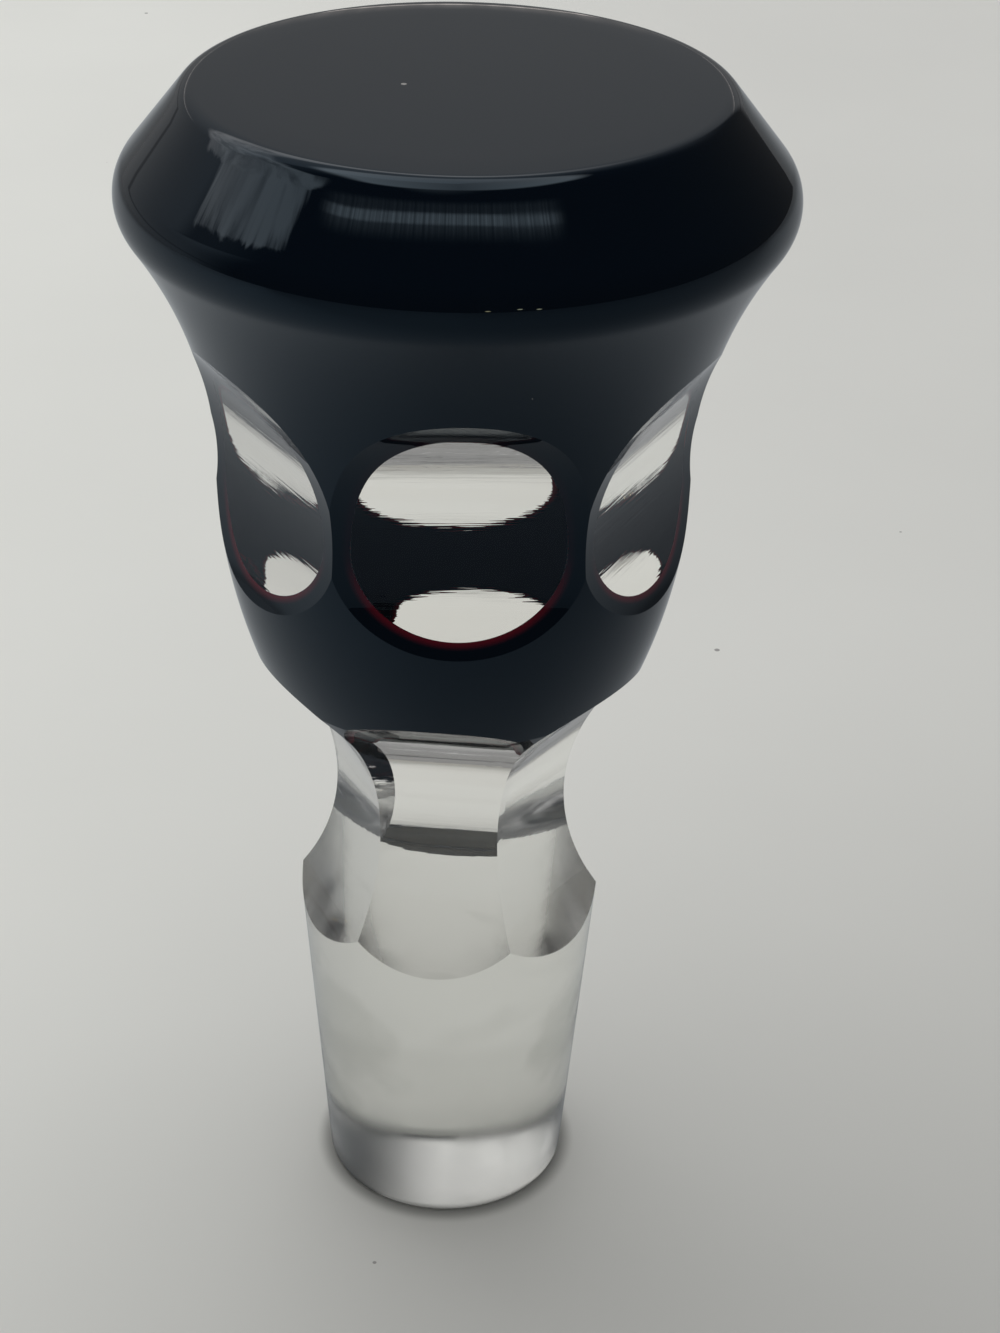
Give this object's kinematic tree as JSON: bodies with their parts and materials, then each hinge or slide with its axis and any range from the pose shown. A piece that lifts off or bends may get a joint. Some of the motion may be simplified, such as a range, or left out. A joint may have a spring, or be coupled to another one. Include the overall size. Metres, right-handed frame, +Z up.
{
  "type": "glass decanter stopper",
  "caption": "Cut glass stopper with a thin dark layer fused over its flared head, thumbprint cuts through to clear glass, a faceted neck and a tapered ground plug.",
  "frame": {"origin": "centre of the plug's flat end, on the surface that the stopper stands on", "axes": "+Z up along the stopper's axis from the plug to the flat top, and -Y towards the first thumbprint cut"},
  "size_m": [0.0434, 0.0434, 0.085],
  "materials": {
    "clear_glass": "polished clear lead glass, with the plug's side finely ground and nearly clear",
    "dark_layer": "polished, very dark ruby glass that reads as black and glows red only where it is cut thin"
  },
  "bodies": {
    "root": {"clear_glass": "clear_glass", "dark_layer": "dark_layer"}
  },
  "joints": []
}
